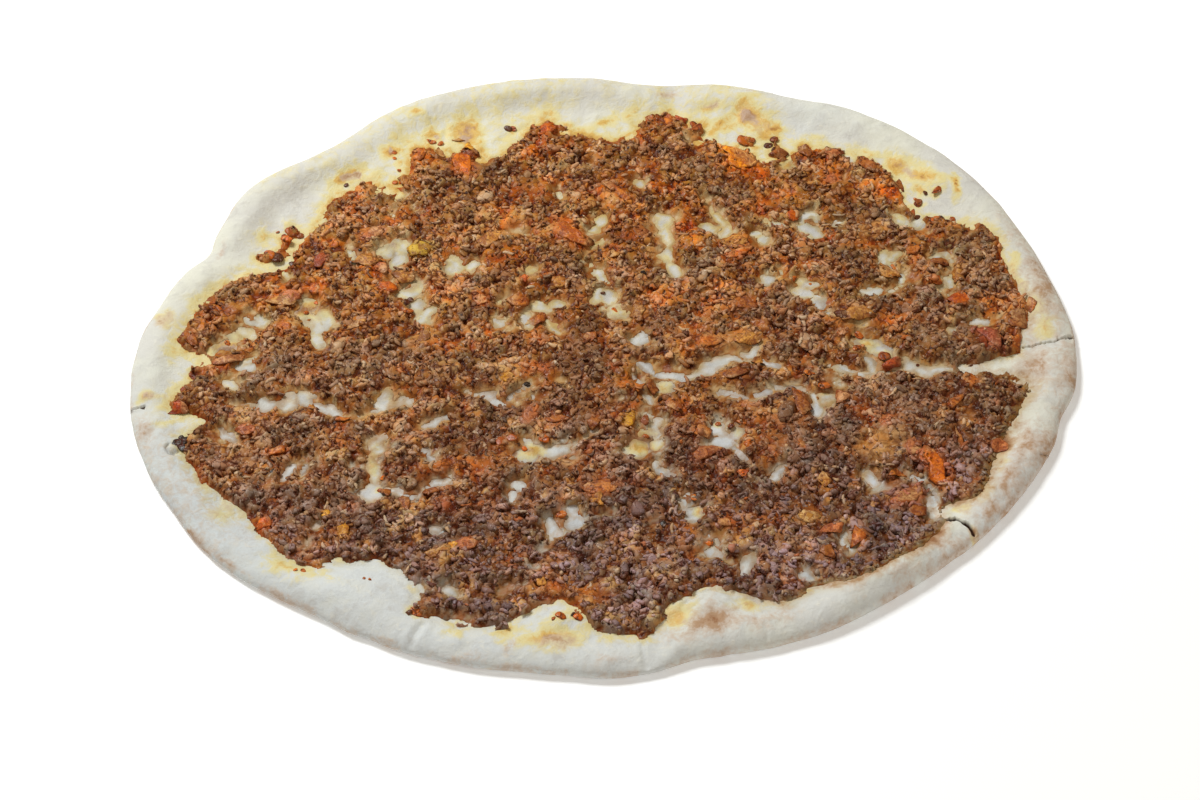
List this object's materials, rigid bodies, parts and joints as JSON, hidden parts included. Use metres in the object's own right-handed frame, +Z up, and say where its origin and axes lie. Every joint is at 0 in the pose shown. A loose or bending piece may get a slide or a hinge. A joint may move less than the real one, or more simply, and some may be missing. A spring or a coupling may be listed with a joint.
{
  "type": "lahmacun",
  "caption": "Baked lahmacun: a thin oval flatbread with an uneven, blistered pale rim under a thin layer of spiced minced meat with chopped pepper, tomato and onion.",
  "frame": {"origin": "under the middle of the bounding box, on the flat underside of the bread", "axes": "+X along the long axis of the oval, +Y across it towards the widest bare rim, +Z up through the topping"},
  "size_m": [0.3034, 0.2526, 0.009],
  "materials": {
    "bread": "baked dough: dry, matte, floury cream white with toasted brown spots and yellow oil stains",
    "mince": "cooked minced meat: crumbly brown, moist and slightly oily",
    "pepper": "roasted pepper: moist orange red skin and flesh",
    "tomato": "cooked tomato: moist soft red",
    "onion": "cooked onion: translucent tan yellow"
  },
  "bodies": {
    "root": {"flatbread": "bread", "mince_topping": "mince", "pepper_piece_1": "pepper", "pepper_piece_2": "pepper", "pepper_piece_3": "pepper", "pepper_piece_4": "pepper", "pepper_piece_5": "pepper", "tomato_piece_1": "tomato", "tomato_piece_2": "tomato", "tomato_piece_3": "tomato", "tomato_piece_4": "tomato", "tomato_piece_5": "tomato", "tomato_piece_6": "tomato", "onion_piece_1": "onion", "onion_piece_2": "onion"}
  },
  "joints": []
}
